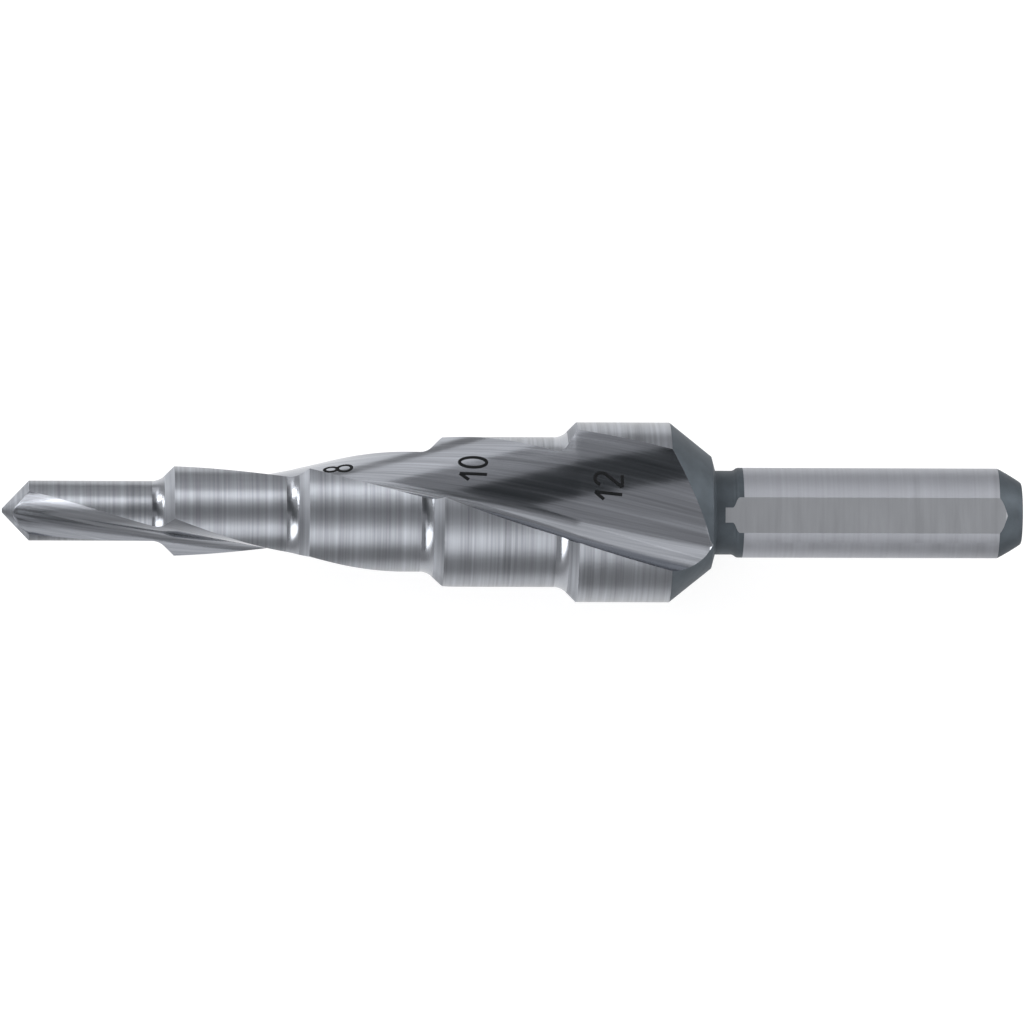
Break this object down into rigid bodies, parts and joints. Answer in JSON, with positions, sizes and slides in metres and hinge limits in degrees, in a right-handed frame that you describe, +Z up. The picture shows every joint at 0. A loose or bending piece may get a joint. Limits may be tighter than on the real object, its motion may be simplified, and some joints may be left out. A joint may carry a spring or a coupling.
{
  "type": "step drill",
  "caption": "Stepped steel drill bit with helical flutes, a cone point and a round shank with ground flats, lying on its side.",
  "frame": {"origin": "middle of the base of the bounding box, on the surface that the drill lies on", "axes": "+X along the drill's axis from the point to the shank, +Z up, +Y across the drill"},
  "size_m": [0.068, 0.012, 0.0103],
  "materials": {
    "high_speed_steel": "bright ground high-speed steel, darker where it is not ground"
  },
  "bodies": {
    "root": {"step_drill": "high_speed_steel"}
  },
  "joints": []
}
